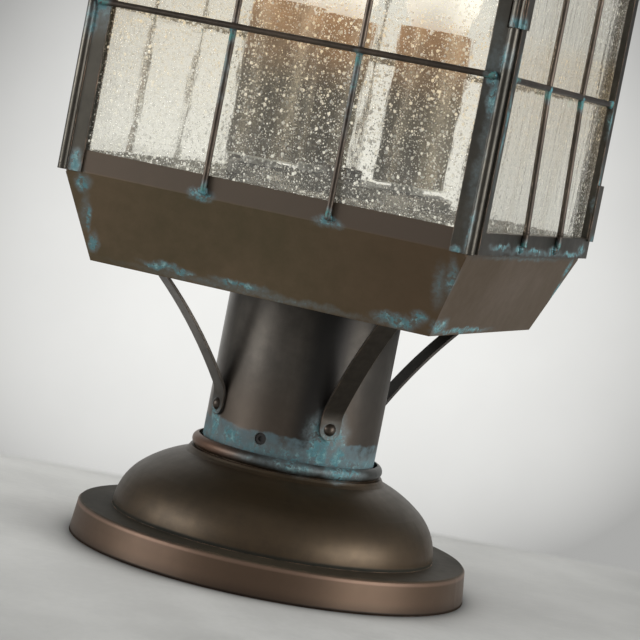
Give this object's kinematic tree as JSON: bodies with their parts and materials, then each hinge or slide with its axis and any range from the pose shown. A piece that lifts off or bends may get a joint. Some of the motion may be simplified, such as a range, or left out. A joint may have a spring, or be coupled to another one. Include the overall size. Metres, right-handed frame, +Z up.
{
  "type": "pedestal lantern",
  "caption": "Square post lantern with a rod grid over bubbled glass, a hinged glass door, candle lamps and a spun cover that hides its fixing plate.",
  "frame": {"origin": "centre of the resting face, on the pier under the post", "axes": "+Z up along the post, front pane towards -Y, door towards +X"},
  "size_m": [0.226, 0.226, 0.5109],
  "materials": {
    "aged_copper": "aged dark bronze with traces of green patina",
    "olive_copper": "aged olive bronze with green patina at the seams",
    "brass_rod": "aged dark bronze",
    "plain_brass": "plain brass",
    "zinc_steel": "zinc plated",
    "black_screw": "black oxide",
    "seedy_glass": "clear with bubbles",
    "lampholder_white": "matt",
    "candle_bronze": "satin bronze paint",
    "lamp_glass": "frosted, lit"
  },
  "bodies": {
    "lantern": {"fixing_plate": "zinc_steel", "stub_post": "zinc_steel", "pier_cover": "aged_copper", "fitter_sleeve": "aged_copper", "set_screws": "black_screw", "brace_front_left": "aged_copper", "brace_front_right": "aged_copper", "brace_rear_right": "aged_copper", "brace_rear_left": "aged_copper", "brace_foot_rivets": "brass_rod", "brace_tab_rivets": "brass_rod", "tray": "olive_copper", "post_front_left": "aged_copper", "post_rear_left": "aged_copper", "hinge_post": "aged_copper", "catch_post": "aged_copper", "front_glass": "seedy_glass", "rear_glass": "seedy_glass", "left_glass": "seedy_glass", "front_grid": "brass_rod", "rear_grid": "brass_rod", "left_grid": "brass_rod", "top_frame": "aged_copper", "hinge_pin": "brass_rod", "catch_pin": "brass_rod", "cluster_stem": "plain_brass", "stem_nuts": "plain_brass", "cluster_pan": "zinc_steel", "lampholder_right": "lampholder_white", "lampholder_front": "lampholder_white", "lampholder_rear": "lampholder_white", "candle_right": "candle_bronze", "candle_front": "candle_bronze", "candle_rear": "candle_bronze", "lamp_right": "lamp_glass", "lamp_front": "lamp_glass", "lamp_rear": "lamp_glass", "roof": "olive_copper", "vent_drum": "aged_copper", "vent_cap": "olive_copper", "finial": "aged_copper"},
    "door": {"door_frame": "aged_copper", "door_glass": "seedy_glass", "door_grid": "brass_rod", "hinge_knuckle_low": "brass_rod", "hinge_knuckle_high": "brass_rod", "catch_knuckle": "brass_rod"}
  },
  "joints": [
    {"name": "door_hinge", "type": "hinge", "parent": "lantern", "child": "door", "pos_m": [0.0959, 0.0959, 0.1664], "axis": [0, 0, 1], "range_deg": [0, 120]}
  ]
}
